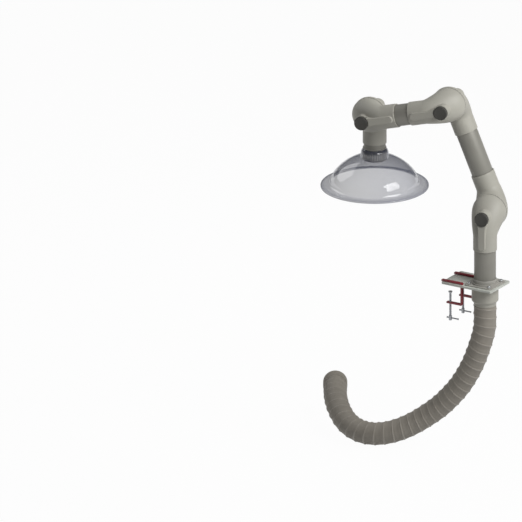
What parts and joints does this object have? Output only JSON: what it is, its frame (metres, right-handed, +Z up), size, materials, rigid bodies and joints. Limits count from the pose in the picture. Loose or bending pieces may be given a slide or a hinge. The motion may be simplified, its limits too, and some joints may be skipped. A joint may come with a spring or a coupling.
{
  "type": "fume extraction arm",
  "caption": "Bench clamped fume extraction arm of grey tubes and three hollow friction elbows, with a clear dome hood and a hanging ribbed hose",
  "frame": {"origin": "on the underside of the clamping plate, level with the swivel axis and 105 mm from it, where the bench top meets the plate", "axes": "Z is up, minus Z goes into the bench top; X runs along the plate from the bench towards the swivel; Y runs along the bench edge"},
  "size_m": [0.7606, 0.3703, 1.3007],
  "materials": {
    "moulded_grey": "satin warm grey moulding",
    "tube_grey": "grey satin anodised",
    "hose_grey": "brown grey ribbed hose",
    "knob_grey": "dark grey matt",
    "seal_grey": "pale soft seal",
    "clamp_red": "dark red paint",
    "plate_pale": "pale satin coat",
    "steel": "bare steel",
    "bright_steel": "bright plated steel",
    "rubber_black": "black rubber",
    "clear_plastic": "clear moulded plastic"
  },
  "bodies": {
    "bracket": {"bracket_plate": "plate_pale", "swivel_flange": "moulded_grey", "swivel_bush": "moulded_grey", "flange_bolt_1": "bright_steel", "flange_bolt_2": "bright_steel", "flange_bolt_3": "bright_steel", "flange_bolt_4": "bright_steel", "hose_adapter": "moulded_grey", "hose": "hose_grey", "hose_cuff": "hose_grey", "front_clamp_frame": "clamp_red", "rear_clamp_frame": "clamp_red"},
    "riser": {"riser_tube": "tube_grey", "shoulder_front_elbow": "moulded_grey", "shoulder_seal_ring": "seal_grey", "shoulder_washer": "rubber_black"},
    "lower_arm": {"shoulder_back_elbow": "moulded_grey", "shoulder_tension_bolt": "steel", "shoulder_bolt_cap": "moulded_grey", "lower_arm_tube": "tube_grey", "elbow_back_elbow": "moulded_grey", "elbow_tension_bolt": "steel", "elbow_bolt_cap": "moulded_grey"},
    "upper_arm": {"elbow_front_elbow": "moulded_grey", "elbow_seal_ring": "seal_grey", "elbow_washer": "rubber_black", "upper_arm_tube": "tube_grey", "wrist_front_elbow": "moulded_grey", "wrist_seal_ring": "seal_grey", "wrist_washer": "rubber_black"},
    "hood": {"wrist_back_elbow": "moulded_grey", "wrist_tension_bolt": "steel", "wrist_bolt_cap": "moulded_grey", "hood_neck_tube": "tube_grey", "dome_hood": "clear_plastic", "hood_gasket": "rubber_black"},
    "shoulder_knob": {"shoulder_knob": "knob_grey"},
    "elbow_knob": {"elbow_knob": "knob_grey"},
    "wrist_knob": {"wrist_knob": "knob_grey"},
    "hood_nut": {"hood_nut": "moulded_grey"},
    "front_clamp_pad": {"front_clamp_pad": "steel"},
    "front_clamp_spindle": {"front_clamp_spindle": "steel"},
    "front_tommy_bar": {"front_tommy_bar": "steel"},
    "rear_clamp_pad": {"rear_clamp_pad": "steel"},
    "rear_clamp_spindle": {"rear_clamp_spindle": "steel"},
    "rear_tommy_bar": {"rear_tommy_bar": "steel"}
  },
  "joints": [
    {"name": "base_swivel", "type": "hinge", "parent": "bracket", "child": "riser", "pos_m": [0.105, 0, 0.01], "axis": [0, 0, 1], "continuous": true},
    {"name": "shoulder", "type": "hinge", "parent": "riser", "child": "lower_arm", "pos_m": [0.09155, 0.05539, 0.252], "axis": [-0.236, 0.9718, 0], "range_deg": [-50, 70]},
    {"name": "elbow", "type": "hinge", "parent": "lower_arm", "child": "upper_arm", "pos_m": [-0.05119, 0.02073, 0.62298], "axis": [-0.236, 0.9718, 0], "range_deg": [-25, 75]},
    {"name": "wrist", "type": "hinge", "parent": "upper_arm", "child": "hood", "pos_m": [-0.32733, -0.04633, 0.55581], "axis": [0.236, -0.9718, 0], "range_deg": [-80, 30]},
    {"name": "shoulder_knob_turn", "type": "hinge", "parent": "riser", "child": "shoulder_knob", "pos_m": [0.09155, 0.05539, 0.252], "axis": [0.236, -0.9718, 0], "continuous": true},
    {"name": "elbow_knob_turn", "type": "hinge", "parent": "upper_arm", "child": "elbow_knob", "pos_m": [-0.05119, 0.02073, 0.62298], "axis": [0.236, -0.9718, 0], "continuous": true},
    {"name": "wrist_knob_turn", "type": "hinge", "parent": "upper_arm", "child": "wrist_knob", "pos_m": [-0.32733, -0.04633, 0.55581], "axis": [0.236, -0.9718, 0], "continuous": true},
    {"name": "hood_nut_turn", "type": "hinge", "parent": "hood", "child": "hood_nut", "pos_m": [-0.34078, 0.00906, 0.38981], "axis": [0, 0, 1], "continuous": true},
    {"name": "front_pad_slide", "type": "slide", "parent": "bracket", "child": "front_clamp_pad", "axis": [0, 0, 1], "range_m": [-0.0275, 0.021]},
    {"name": "front_spindle_turn", "type": "hinge", "parent": "front_clamp_pad", "child": "front_clamp_spindle", "pos_m": [-0.002, -0.052, -0.03], "axis": [0, 0, 1], "range_deg": [-3990, 3060]},
    {"name": "front_bar_slide", "type": "slide", "parent": "front_clamp_spindle", "child": "front_tommy_bar", "axis": [1, 0, 0], "range_m": [-0.0235, 0.0055]},
    {"name": "rear_pad_slide", "type": "slide", "parent": "bracket", "child": "rear_clamp_pad", "axis": [0, 0, 1], "range_m": [-0.0275, 0.021]},
    {"name": "rear_spindle_turn", "type": "hinge", "parent": "rear_clamp_pad", "child": "rear_clamp_spindle", "pos_m": [-0.002, 0.032, -0.03], "axis": [0, 0, 1], "range_deg": [-3990, 3060]},
    {"name": "rear_bar_slide", "type": "slide", "parent": "rear_clamp_spindle", "child": "rear_tommy_bar", "axis": [1, 0, 0], "range_m": [-0.0235, 0.0055]}
  ],
  "couplings": [
    {"joint": "front_spindle_turn", "follows": "front_pad_slide", "rad_per_m": 2513.3},
    {"joint": "rear_spindle_turn", "follows": "rear_pad_slide", "rad_per_m": 2513.3}
  ]
}
